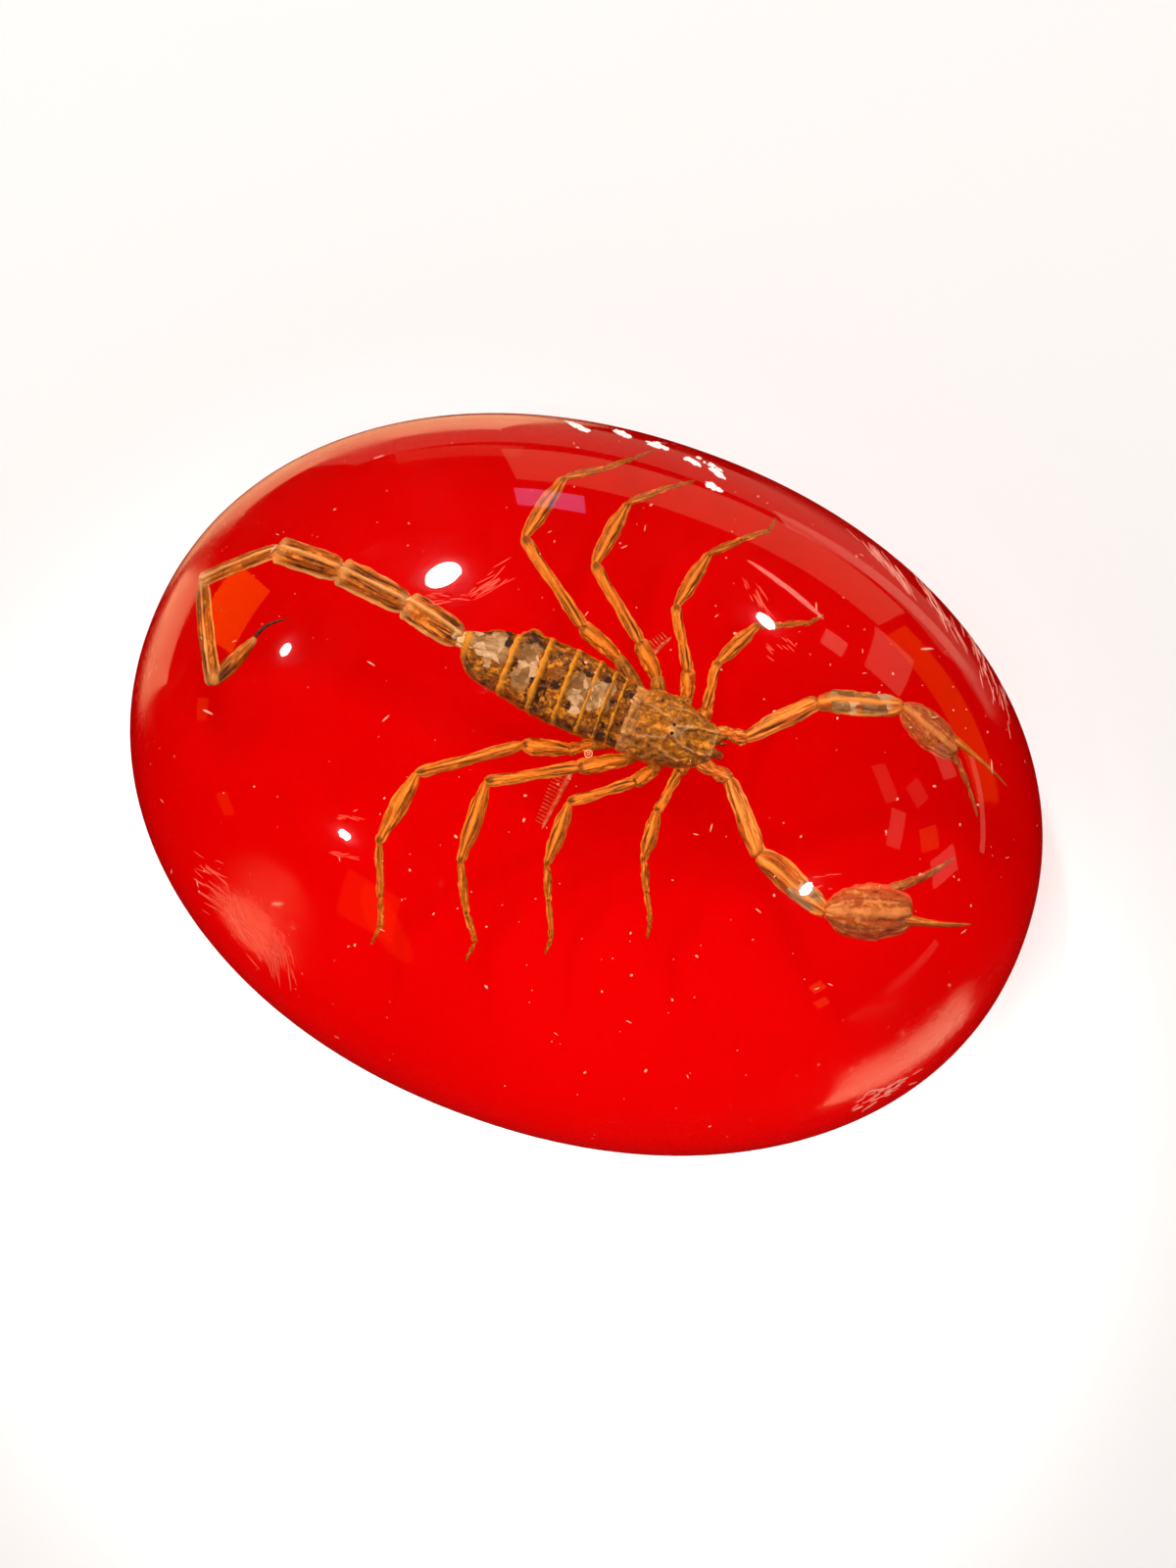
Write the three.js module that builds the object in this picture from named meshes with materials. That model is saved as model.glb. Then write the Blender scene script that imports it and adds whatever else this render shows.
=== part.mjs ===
// Scorpion paperweight: a pebble-shaped oval block of cast resin, in two layers that cured on each other.
// The clear casting is the dome that holds the dried specimen; the red backing is the flat foot that it stands on.
// Both layers share one oval plan and one side profile, and meet on a level plane.
// Units are millimetres, +Z is up, and the origin is under the middle of the block, on the table.
import * as THREE from 'three';

// Driving dimensions
const BLOCK_LENGTH = 84;          // along X, at the widest line
const BLOCK_WIDTH = 64;           // along Y, at the widest line
const BLOCK_HEIGHT = 29;
const BACKING_THICKNESS = 7;      // depth of the red layer
const WIDEST_LINE_HEIGHT = 6;     // the mould's mouth, where the pebble is longest and widest
const FOOT_INSET = 5;             // the sanded round under the widest line, measured at the ends of the oval
const PLAN_EXPONENT = 2.1;        // 2 is a true ellipse; a little more squares the oval's shoulders
const DOME_EXPONENT = 2.1;        // the same, for the dome's side profile

// Facets
const PLAN_SEGMENTS = 96;         // a multiple of 4, so that the oval's ends and sides are on a vertex
const DOME_STEPS = 16;            // from the widest line to the crown
const FOOT_STEPS = 6;             // from the underside to the widest line

const QUARTER_TURN = Math.PI / 2;

// The side profile as a share of the oval's radius, for a height above the table.
function profileShare(height) {
  if (height >= WIDEST_LINE_HEIGHT) {
    const climbed = (height - WIDEST_LINE_HEIGHT) / (BLOCK_HEIGHT - WIDEST_LINE_HEIGHT);
    return Math.max(0, 1 - climbed ** DOME_EXPONENT) ** (1 / DOME_EXPONENT);
  }
  const dropped = (WIDEST_LINE_HEIGHT - height) / WIDEST_LINE_HEIGHT;
  const inset = FOOT_INSET / (BLOCK_LENGTH / 2);
  return 1 - inset * (1 - Math.sqrt(1 - dropped ** 2));
}

// Heights of the dome's rings, from the widest line to the crown, spaced as along an arc.
function domeHeights() {
  const heights = [];
  for (let step = 0; step <= DOME_STEPS; step += 1) {
    const climbed = Math.sin((step / DOME_STEPS) * QUARTER_TURN);
    heights.push(WIDEST_LINE_HEIGHT + climbed * (BLOCK_HEIGHT - WIDEST_LINE_HEIGHT));
  }
  return heights;
}

// Heights of the foot's rings, from the table to the widest line.
function footHeights() {
  const heights = [];
  for (let step = 0; step <= FOOT_STEPS; step += 1) {
    heights.push(WIDEST_LINE_HEIGHT * (1 - Math.cos((step / FOOT_STEPS) * QUARTER_TURN)));
  }
  return heights;
}

// Bends the round lathe section of unit radius into the oval plan.
function bendToPlan(geometry) {
  const position = geometry.attributes.position;
  for (let index = 0; index < position.count; index += 1) {
    const x = position.getX(index);
    const y = position.getY(index);
    const radius = Math.hypot(x, y);
    if (radius > 0) {
      const lengthwise = Math.sign(x) * Math.abs(x / radius) ** (2 / PLAN_EXPONENT);
      const widthwise = Math.sign(y) * Math.abs(y / radius) ** (2 / PLAN_EXPONENT);
      position.setX(index, radius * lengthwise * (BLOCK_LENGTH / 2));
      position.setY(index, radius * widthwise * (BLOCK_WIDTH / 2));
    }
  }
  geometry.computeVertexNormals();
  return geometry;
}

// One layer of the block between two level planes: the rings that the plane pair keeps, closed on the axis.
function layerGeometry(bottom, top) {
  const between = [...footHeights(), ...domeHeights()].filter((height) => height > bottom && height < top);
  const rings = [bottom, ...between, top].map((height) => new THREE.Vector2(profileShare(height), height));
  const separate = rings.filter((ring, index) => index === 0 || ring.y > rings[index - 1].y);
  const outline = [new THREE.Vector2(0, bottom), ...separate];
  if (profileShare(top) > 0) outline.push(new THREE.Vector2(0, top));
  const geometry = new THREE.LatheGeometry(outline, PLAN_SEGMENTS);
  geometry.rotateX(QUARTER_TURN);
  return bendToPlan(geometry);
}

// Clear polyester resin, buffed: the dome over the backing.
function clearDome() {
  const material = new THREE.MeshStandardMaterial({
    color: 0xf6f1ea,
    roughness: 0.05,
    metalness: 0,
    transparent: true,
    opacity: 0.35,
  });
  const mesh = new THREE.Mesh(layerGeometry(BACKING_THICKNESS, BLOCK_HEIGHT), material);
  mesh.name = 'clear_dome';
  return mesh;
}

// The same resin filled with red pigment, poured last: the backing and foot.
function redBacking() {
  const material = new THREE.MeshStandardMaterial({ color: 0xd40808, roughness: 0.25, metalness: 0 });
  const mesh = new THREE.Mesh(layerGeometry(0, BACKING_THICKNESS), material);
  mesh.name = 'red_backing';
  return mesh;
}

const scorpionBlock = new THREE.Group();
scorpionBlock.name = 'scorpion_in_resin_block';
scorpionBlock.add(clearDome(), redBacking());

export default scorpionBlock;
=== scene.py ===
import math
import random

import bpy
from mathutils import Matrix, Vector


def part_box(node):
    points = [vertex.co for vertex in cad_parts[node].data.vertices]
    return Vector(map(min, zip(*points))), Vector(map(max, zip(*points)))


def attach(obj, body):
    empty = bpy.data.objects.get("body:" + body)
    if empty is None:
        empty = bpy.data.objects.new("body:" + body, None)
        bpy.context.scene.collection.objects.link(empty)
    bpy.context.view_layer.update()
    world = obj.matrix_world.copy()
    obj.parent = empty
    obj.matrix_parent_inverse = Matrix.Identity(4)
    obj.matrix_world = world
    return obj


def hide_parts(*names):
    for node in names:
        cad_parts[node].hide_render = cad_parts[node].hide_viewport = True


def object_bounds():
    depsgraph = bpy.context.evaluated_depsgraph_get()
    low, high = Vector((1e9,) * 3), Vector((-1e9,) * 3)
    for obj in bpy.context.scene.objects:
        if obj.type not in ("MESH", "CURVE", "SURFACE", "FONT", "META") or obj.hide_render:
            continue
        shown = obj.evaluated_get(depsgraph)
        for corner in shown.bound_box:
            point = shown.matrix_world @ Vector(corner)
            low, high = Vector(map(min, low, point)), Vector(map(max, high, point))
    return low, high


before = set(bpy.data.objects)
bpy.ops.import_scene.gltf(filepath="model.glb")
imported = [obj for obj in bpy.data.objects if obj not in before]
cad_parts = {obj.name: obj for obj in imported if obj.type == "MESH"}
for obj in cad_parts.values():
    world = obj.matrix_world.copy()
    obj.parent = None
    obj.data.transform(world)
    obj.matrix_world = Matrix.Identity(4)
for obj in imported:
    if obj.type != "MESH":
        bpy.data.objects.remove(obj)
cad_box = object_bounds()

# ------------------------------------------------------------------------------
# Clear dome. Clear polyester resin, poured round the specimen in a polished oval mould and buffed by hand.
# The crown is glassy with wiping scratches, and the steep side is satin, with sanding lines that run round
# the oval.

MM = 0.001
LENGTH, WIDTH, HEIGHT = cad_box[1] - cad_box[0]
WIDEST_LEVEL = 6 * MM              # the mould's mouth, where the pebble is longest and widest
BACKING_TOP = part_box("red_backing")[1].z
PEBBLE_POWER = 2.1                 # 2 is an ellipsoid; a little more squares its shoulders
LAYER_OVERLAP = 0.02 * MM          # the clear layer bonds into the red one, with no film of air between them
CLEAR_IOR = 1.54
SATIN_TOP = 19 * MM                # the sanding lines fade out on the way up to here
SATIN_FULL = 13 * MM
SANDING_LINE = 0.26 * MM           # real lines are under 0.05 mm; drawn coarser so that they show
GLASSY_ROUGH = 0.018
SATIN_ROUGH = (0.19, 0.26)         # between the sanding lines, and on them
SATIN_CLOUD = 11 * MM              # the satin's upper limit wanders up and down, over about this length
SATIN_WANDER = 2.5 * MM
SANDING_DEPTH = 0.05 * MM
RUBBED_DULL = (((-21.5, -23, 17.5), 10), ((34.5, -14.5, 15), 11))   # places and radii in mm
RUBBED_CORE = 0.4                  # the share of the radius that is dull all over
WIPING_TURNS = (15, 70, 130)       # the three ways of the wiping scratches, in degrees
SCRATCH_LENGTH = 5 * MM
SCRATCH_WIDTH = 0.12 * MM
SCRATCH_DEPTH = 0.012 * MM
RESIN_TINT, RESIN_DENSITY = "#FFF6E6", 8.0    # a honey tint that only the whole depth shows
DOME_CUTS = 79                     # across each side of the cube that the dome is rounded from


def linear(colour):
    """An sRGB hex colour as the linear RGBA that the shaders take."""
    channels = [int(colour[i : i + 2], 16) / 255 for i in (1, 3, 5)]
    return [c / 12.92 if c <= 0.04045 else ((c + 0.055) / 1.055) ** 2.4 for c in channels] + [1.0]


def add(tree, kind, sockets=None, stops=None, **settings):
    """Adds one shader node, with its settings, a ramp's stops, and its sockets' values or links.

    A node that is given as a value stands for its first output.
    """
    made = tree.nodes.new("ShaderNode" + kind)
    for setting, value in settings.items():
        setattr(made, setting, value)
    for index, (place, colour) in enumerate(stops or ()):
        elements = made.color_ramp.elements
        stop = elements[index] if index < len(elements) else elements.new(place)
        stop.position = place
        stop.color = colour
    for socket, value in (sockets or {}).items():
        if isinstance(value, bpy.types.Node):
            value = value.outputs[0]
        if isinstance(value, bpy.types.NodeSocket):
            tree.links.new(value, made.inputs[socket])
        else:
            made.inputs[socket].default_value = value
    return made


def new_material(name):
    """An empty material and its node tree."""
    made = bpy.data.materials.new(name)
    made.use_nodes = True
    made.node_tree.nodes.clear()
    return made, made.node_tree


def only(piece):
    """Selects one object and makes it active, with everything else deselected."""
    bpy.ops.object.select_all(action="DESELECT")
    piece.select_set(True)
    bpy.context.view_layer.objects.active = piece


def start_piece(name):
    """Names the primitive just added and opens it in edit mode, all selected."""
    piece = bpy.context.object
    piece.name = piece.data.name = name
    only(piece)
    bpy.ops.object.transform_apply(location=True, rotation=True, scale=True)
    bpy.ops.object.mode_set(mode="EDIT")
    bpy.ops.mesh.select_all(action="SELECT")
    return piece


def close_piece(sharp=180):
    """Merges doubles, turns the faces outwards and leaves edit mode, shaded smooth below the given angle."""
    bpy.ops.mesh.select_all(action="SELECT")
    bpy.ops.mesh.remove_doubles(threshold=1e-7)
    bpy.ops.mesh.normals_make_consistent(inside=False)
    bpy.ops.object.mode_set(mode="OBJECT")
    bpy.ops.object.shade_smooth_by_angle(angle=math.radians(sharp))


def belongs(piece, material=None):
    """Finishes a piece: it rides on the block, and takes the given material, if any, in place of its own."""
    if material:
        piece.data.materials.clear()
        piece.data.materials.append(material)
    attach(piece, "root")
    return piece


def round_the_oval(tree, line_width, line_length):
    """Texture coordinates of lines that run round the oval, with the height and the place they come from."""
    place = add(tree, "TexCoord").outputs["Object"]
    split = add(tree, "SeparateXYZ", {0: place})
    wide = add(tree, "Math", {0: split.outputs[0], 1: WIDTH / LENGTH}, operation="MULTIPLY")
    angle = add(tree, "Math", {0: split.outputs[1], 1: wide}, operation="ARCTAN2")
    turns = add(tree, "Math", {0: angle, 1: LENGTH / 2 / line_length}, operation="MULTIPLY")
    height = add(tree, "Math", {0: split.outputs[2], 1: 1 / line_width}, operation="MULTIPLY")
    drawn = add(tree, "CombineXYZ", {0: turns, 1: height})
    return drawn, split.outputs[2], place


def rubbed_dull(tree, place):
    """How dull the buffing left the shoulder near a few places: 1 in their middle, with feathered ends."""
    total = 0.0
    for spot, radius in RUBBED_DULL:
        gap = add(tree, "VectorMath", {0: place, 1: Vector(spot) * MM}, operation="DISTANCE").outputs["Value"]
        fade = {0: gap, 1: radius * MM, 2: radius * RUBBED_CORE * MM, 3: 0.0, 4: 1.0}
        near = add(tree, "MapRange", fade, interpolation_type="SMOOTHSTEP")
        total = add(tree, "Math", {0: near, 1: total}, operation="MAXIMUM")
    return total


def scratches(tree, place):
    """Fine straight wiping scratches in three directions, as a height that dips at each one."""
    scales = (1 / SCRATCH_WIDTH, 1 / SCRATCH_LENGTH, 1 / SCRATCH_LENGTH)
    total = 0.0
    for turn in WIPING_TURNS:
        turned = add(tree, "Mapping", {"Vector": place, "Rotation": (0.3, 0.2, math.radians(turn))})
        drawn = add(tree, "VectorMath", {0: turned, 1: scales}, operation="MULTIPLY")
        line = add(tree, "TexNoise", {"Vector": drawn, "Scale": 1.0, "Detail": 1.0})
        line = add(tree, "MapRange", {0: line, 1: 0.6, 2: 0.68, 3: 0.0, 4: -1.0})
        total = add(tree, "Math", {0: line, 1: total}, operation="ADD")
    return total


def clear_resin():
    """Polyester resin, clear, buffed: a faint honey tint in its depth, a glassy crown and a satin side."""
    made, tree = new_material("Polyester resin, clear, buffed")
    lines_at, height, place = round_the_oval(tree, SANDING_LINE, 5 * MM)
    lines = add(tree, "TexNoise", {"Vector": lines_at, "Scale": 1.0, "Detail": 4.0, "Roughness": 0.7})
    patches = add(tree, "TexNoise", {"Vector": place, "Scale": 1 / SATIN_CLOUD, "Detail": 2.0})
    uneven = add(tree, "MapRange", {0: patches, 1: 0.35, 2: 0.65, 3: -SATIN_WANDER, 4: SATIN_WANDER})
    level = add(tree, "Math", {0: height, 1: uneven}, operation="ADD")
    fade = {0: level, 1: SATIN_TOP, 2: SATIN_FULL, 3: 0.0, 4: 1.0}
    satin = add(tree, "MapRange", fade, interpolation_type="SMOOTHSTEP")
    dull = add(tree, "Math", {0: satin, 1: rubbed_dull(tree, place)}, operation="MAXIMUM")
    brushed = add(tree, "MapRange", {0: lines, 1: 0.35, 2: 0.65, 3: SATIN_ROUGH[0], 4: SATIN_ROUGH[1]})
    rough = add(tree, "Math", {0: dull, 1: brushed, 2: GLASSY_ROUGH}, operation="MULTIPLY_ADD")
    relief = add(tree, "Math", {0: lines, 1: satin}, operation="MULTIPLY")
    skin = add(tree, "Bump", {"Height": relief, "Strength": 0.25, "Distance": SANDING_DEPTH})
    faint = add(tree, "Bump", {"Height": relief, "Strength": 0.06, "Distance": SANDING_DEPTH})
    nicks = scratches(tree, place)
    nick = add(tree, "Bump", {"Height": nicks, "Strength": 1.0, "Distance": SCRATCH_DEPTH, "Normal": skin})
    shader = add(tree, "BsdfPrincipled", {
        "Base Color": (1.0, 1.0, 1.0, 1.0),
        "Transmission Weight": 1.0,
        "IOR": CLEAR_IOR,
        "Roughness": rough,
        "Normal": faint,
        "Coat Weight": 0.15,
        "Coat Roughness": 0.1,
        "Coat Normal": nick,
    })
    depth = add(tree, "VolumeAbsorption", {"Color": linear(RESIN_TINT), "Density": RESIN_DENSITY})
    add(tree, "OutputMaterial", {"Surface": shader, "Volume": depth})
    return made


bpy.ops.object.select_all(action="DESELECT")
bpy.ops.mesh.primitive_cube_add(size=2)
dome = start_piece("resin_dome")
bpy.ops.mesh.subdivide(number_cuts=DOME_CUTS)
bpy.ops.transform.tosphere(value=1.0)
bpy.ops.object.mode_set(mode="OBJECT")
for vertex in dome.data.vertices:
    ball = vertex.co.normalized()
    reach = sum(abs(share) ** PEBBLE_POWER for share in ball) ** (-1 / PEBBLE_POWER)
    vertex.co = (
        ball.x * reach * LENGTH / 2,
        ball.y * reach * WIDTH / 2,
        WIDEST_LEVEL + ball.z * reach * (HEIGHT - WIDEST_LEVEL),
    )
bpy.ops.object.mode_set(mode="EDIT")
bpy.ops.mesh.select_all(action="SELECT")
bpy.ops.mesh.bisect(
    plane_co=(0, 0, BACKING_TOP - LAYER_OVERLAP),
    plane_no=(0, 0, 1),
    use_fill=True,
    clear_inner=True,
    threshold=1e-7,                # the usual tenth of a millimetre would leave a crooked rim
)
close_piece(sharp=35)
belongs(dome, clear_resin())
dome.visible_shadow = False        # lamplight reaches the specimen straight through the clear layer
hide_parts("clear_dome")

# ------------------------------------------------------------------------------
# Red backing. The same resin filled with an opaque red pigment, poured over the back of the clear layer.
# Its top is a bond line with no gloss of its own, its side is buffed with the dome's, and it is sanded flat
# underneath.

FOOT_INSET = 5 * MM                # the round under the widest line, at the ends of the oval
OVAL_SIDES = 192
FOOT_RINGS = 10
PIGMENT_CLOUD = 30 * MM
LINE_DEPTH = 0.02 * MM
BACKING_FINISHES = (               # roughness, gloss and relief of the lines
    ("bond line", 1.0, 0.0, 0.0), ("buffed", 0.22, 0.5, 0.3), ("sanded flat", 0.5, 0.5, 0.8),
)


def profile_share(level):
    """The block's half-length at a height, as a share of its widest."""
    if level >= WIDEST_LEVEL:
        climbed = (level - WIDEST_LEVEL) / (HEIGHT - WIDEST_LEVEL)
        return (1 - climbed**PEBBLE_POWER) ** (1 / PEBBLE_POWER)
    dropped = 1 - level / WIDEST_LEVEL
    return 1 - FOOT_INSET / (LENGTH / 2) * (1 - math.sqrt(1 - dropped**2))


def red_resin(name, rough, gloss, line_relief):
    """Polyester resin, red pigmented: one deep colour, with the finish that its face was left with."""
    made, tree = new_material(name)
    lines_at, height, place = round_the_oval(tree, SANDING_LINE, 9 * MM)
    lines = add(tree, "TexNoise", {"Vector": lines_at, "Scale": 1.0, "Detail": 3.0})
    cloud = add(tree, "TexNoise", {"Vector": place, "Scale": 1 / PIGMENT_CLOUD, "Detail": 1.0})
    tone = add(tree, "ValToRGB", {0: cloud}, stops=((0.35, linear("#B80000")), (0.65, linear("#C20101"))))
    spread = {1: 0.3, 2: 0.7, 3: rough * 0.8, 4: min(1.0, rough * 1.2)}
    grain = add(tree, "MapRange", {0: lines, **spread})
    bump = add(tree, "Bump", {"Height": lines, "Strength": line_relief, "Distance": LINE_DEPTH})
    shader = add(tree, "BsdfPrincipled", {
        "Base Color": tone,
        "Roughness": grain,
        "Specular IOR Level": gloss,
        "Normal": bump,
    })
    add(tree, "OutputMaterial", {"Surface": shader})
    return made


bpy.ops.object.select_all(action="DESELECT")
bpy.ops.mesh.primitive_circle_add(vertices=OVAL_SIDES, radius=profile_share(0), fill_type="NGON")
backing = start_piece("backing_layer")
levels = [WIDEST_LEVEL * (1 - math.cos(math.pi / 2 * ring / FOOT_RINGS)) for ring in range(FOOT_RINGS + 1)]
levels += [(WIDEST_LEVEL + BACKING_TOP) / 2, BACKING_TOP]
for below, level in zip(levels, levels[1:]):
    bpy.ops.mesh.extrude_region_move(TRANSFORM_OT_translate={"value": (0, 0, level - below)})
    wider = profile_share(level) / profile_share(below)
    bpy.ops.transform.resize(value=(wider, wider, 1), center_override=(0, 0, level))
bpy.ops.object.mode_set(mode="OBJECT")
for vertex in backing.data.vertices:
    radius = vertex.co.xy.length
    if radius:
        run, side = vertex.co.xy / radius
        vertex.co.x = radius * math.copysign(abs(run) ** (2 / PEBBLE_POWER), run) * LENGTH / 2
        vertex.co.y = radius * math.copysign(abs(side) ** (2 / PEBBLE_POWER), side) * WIDTH / 2
bpy.ops.object.mode_set(mode="EDIT")
close_piece(sharp=35)
for finish, *surface in BACKING_FINISHES:
    backing.data.materials.append(red_resin(f"Polyester resin, red pigmented, {finish}", *surface))
for face in backing.data.polygons:
    level = face.normal.z
    face.material_index = 0 if level > 0.9 else 2 if level < -0.999 else 1
belongs(backing)
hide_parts("red_backing")

# ------------------------------------------------------------------------------
# Trunk underside. The scorpion is a small buthid, dried before it was cast, and only the resin holds it. Its
# belly is a bag of thin skin with five hard plates, and the leg bases are fused to it. The specimen's sizes
# are in mm.

RIGHT_EDGE = (                     # the trunk's outline in plan, from its tail end to the head
    (-12.6, 4.6), (-11.9, 3.3), (-10.5, 2.5), (-9.0, 2.3), (-5.8, 1.6), (-3.3, 1.3), (1.9, 1.3), (4.1, 1.1),
    (5.6, 1.2), (7.3, 1.5), (8.8, 2.2), (9.7, 2.8),
)
LEFT_EDGE = (
    (-12.6, 6.0), (-9.9, 7.1), (-8.4, 7.2), (-7.6, 8.0), (-6.5, 7.9), (-5.5, 7.7), (-3.5, 7.6), (-1.2, 7.4),
    (1.4, 6.8), (2.6, 6.5), (4.0, 6.9), (5.6, 6.9), (7.3, 6.4), (8.8, 5.9), (9.7, 5.6),
)
BELLY_DEPTH = 3.0
BELLY_LEVEL = 14.2                 # its middle, above the block's foot
RING_STEP = 0.45
BELLY_RINGS = 50
RINGS_A_PLATE = 6
SEAM_SHARE, PLATE_SHARE = 0.93, 0.98   # how wide the belly is at a seam and on a plate, against the outline
KEEL_CREASE = 0.75
HIP_WIDTH = 1.5
MOTTLE, SKIN_GRAIN, SKIN_RELIEF = 0.6 * MM, 0.14 * MM, 0.08 * MM
FLAKE, FLAKE_EDGE = 0.75 * MM, 0.5 * MM    # the air flakes, painted in the colours of their silvery reflection, and how far their ragged edges wander
STERNUM = (5.0, 4.1, 13.0)         # where the leg bases meet
HIPS = {
    "left_1": (8.05, 5.3, 13.4), "left_2": (6.2, 7.1, 13.0), "left_3": (3.3, 7.9, 13.0),
    "left_4": (-0.3, 8.3, 13.0), "right_1": (7.95, 2.9, 13.4), "right_2": (5.7, 1.0, 13.0),
    "right_3": (3.3, 1.0, 13.0), "right_4": (0.3, 1.2, 13.0),
}


def across(table, x):
    """Where an outline that runs along X lies at x."""
    for (x0, y0), (x1, y1) in zip(table, table[1:]):
        if x <= x1:
            return y0 + (y1 - y0) * max(0.0, x - x0) / (x1 - x0)
    return table[-1][1]


def unroll(pod, rings):
    """Gives a pod its map: quarter turns round it in u, from a seam underneath, and its length in v."""
    chart = pod.data.uv_layers.new(name="along")
    sways = [(ring[0], ring[3]) for ring in rings]
    lifts = [(ring[0], ring[4]) for ring in rings]
    for face in pod.data.polygons:
        spots = [pod.data.vertices[pod.data.loops[loop].vertex_index].co for loop in face.loop_indices]
        turns = []
        for spot in spots:
            aside, above = spot.y - across(sways, spot.x), spot.z - across(lifts, spot.x)
            turns.append(math.atan2(aside, above) / math.tau + 0.5)
        for loop, spot, turn in zip(face.loop_indices, spots, turns):
            wrapped = 1.0 if max(turns) - min(turns) > 0.5 and turn < 0.5 else 0.0
            length = (spot.x - rings[0][0]) / (rings[-1][0] - rings[0][0])
            chart.data[loop].uv = ((turn + wrapped) * 4, length)


def grow(name, rings, sides=16, keels=1.0):
    """A closed pod along +X, extruded ring by ring, with four keels if its corners stand out.

    A ring is its place and width, then its depth, sway and lift; with no depth given it is round.
    """
    rings = [(*ring, *ring[1:] * (len(ring) == 2), 0.0, 0.0)[:5] for ring in rings]
    bpy.ops.object.select_all(action="DESELECT")
    upright = (math.pi / 2, 0, math.pi / 2)
    bpy.ops.mesh.primitive_circle_add(
        vertices=sides, radius=0.5, fill_type="NGON", rotation=upright, calc_uvs=False
    )
    pod = start_piece(name)
    bpy.ops.object.mode_set(mode="OBJECT")
    for corner in list(pod.data.vertices)[:: sides // 4]:
        corner.co *= keels
    bpy.ops.object.mode_set(mode="EDIT")
    last = (0.0, 1.0, 1.0, 0.0, 0.0)
    for count, ring in enumerate(rings):
        step = (ring[0] - last[0], ring[3] - last[3], ring[4] - last[4])
        if count:
            bpy.ops.mesh.extrude_region_move(TRANSFORM_OT_translate={"value": step})
        else:
            bpy.ops.transform.translate(value=step)
        wider = (1, ring[1] / last[1], ring[2] / last[2])
        bpy.ops.transform.resize(value=wider, center_override=(ring[0], ring[3], ring[4]))
        last = ring
    close_piece()
    unroll(pod, rings)
    if keels != 1.0:
        raise_keels(pod, rings)
    return pod


def raise_keels(pod, rings):
    """Creases the four keels of a pod, and marks them as crests, which take a painted highlight."""
    centres = [(ring[0], Vector((0, ring[3], ring[4]))) for ring in rings]
    crest = pod.data.attributes.new("crest", "FLOAT", "POINT")
    for corner in pod.data.vertices:
        centre = min(centres, key=lambda item: abs(item[0] - corner.co.x))[1]
        turn = math.atan2(corner.co.y - centre.y, corner.co.z - centre.z) / (math.pi / 2)
        crest.data[corner.index].value = float(abs(turn - round(turn)) < 0.02)
    crease = pod.data.attributes.new("crease_edge", "FLOAT", "EDGE")
    for edge in pod.data.edges:
        crease.data[edge.index].value = KEEL_CREASE * all(crest.data[end].value for end in edge.vertices)


def twin(master):
    """A copy of a piece with its own mesh."""
    copy = master.copy()
    copy.data = master.data.copy()
    bpy.context.scene.collection.objects.link(copy)
    return copy


def lay(master, start, length, width, heading, rise=0.0, depth=1.0, roll=0.0, number=0):
    """A copy of a pod, laid from a place along a heading; gives it and where it ends, in mm."""
    copy = twin(master)
    turn = Matrix.Rotation(math.radians(heading), 4, "Z") @ Matrix.Rotation(-math.radians(rise), 4, "Y")
    rolled = turn @ Matrix.Rotation(math.radians(roll), 4, "X")
    sized = Matrix.Diagonal((length, width, width * depth, 1))
    copy.data.transform(Matrix.Scale(MM, 4) @ Matrix.Translation(start) @ rolled @ sized)
    for corner in copy.data.uv_layers["along"].data:
        corner.uv.y += number
    return copy, Vector(start) + turn @ Vector((length, 0, 0))


def rise_along(length, heading, rise):
    """How far a length reaches along a heading and a rise, both in degrees."""
    heading, rise = math.radians(heading), math.radians(rise)
    level = math.cos(rise)
    return length * Vector((math.cos(heading) * level, math.sin(heading) * level, math.sin(rise)))


def named(piece, name):
    piece.name = piece.data.name = name
    return piece


def join(name, parts):
    """Several meshes as one piece."""
    only(parts[0])
    for part in parts:
        part.select_set(True)
    bpy.ops.object.join()
    return named(parts[0], name)


def refine(piece, levels, wrinkle=0.0, lumps=0.0, fold=0.8, lump=0.9):
    """Rounds a piece and shrivels it: lengthwise wrinkles that follow its map, and lumps all over."""
    only(piece)
    smooth = piece.modifiers.new("rounding", "SUBSURF")
    smooth.levels = smooth.render_levels = levels
    shrivelled = (("wrinkles", wrinkle, fold, "UV"), ("lumps", lumps, lump * MM, "LOCAL"))
    for name, depth, size, space in shrivelled:
        if depth:
            shrivel = piece.modifiers.new(name, "DISPLACE")
            shrivel.texture = bpy.data.textures.new(name, "CLOUDS")
            shrivel.texture.noise_scale = size
            shrivel.texture_coords = space
            shrivel.strength = depth * MM
    for modifier in list(piece.modifiers):
        bpy.ops.object.modifier_apply(modifier=modifier.name)
    bpy.ops.object.shade_smooth()
    return piece


def near_spots(tree, place, spots, shift):
    """1 within a few spots, each a place and a radius in mm, and 0 elsewhere; the map is off by the shift."""
    total = 0.0
    for spot, radius in spots:
        middle = (Vector(spot) + shift) * MM
        gap = add(tree, "VectorMath", {0: place, 1: middle}, operation="DISTANCE").outputs["Value"]
        near = add(tree, "Math", {0: gap, 1: radius * MM}, operation="LESS_THAN")
        total = add(tree, "Math", {0: near, 1: total}, operation="MAXIMUM")
    return total


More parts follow.
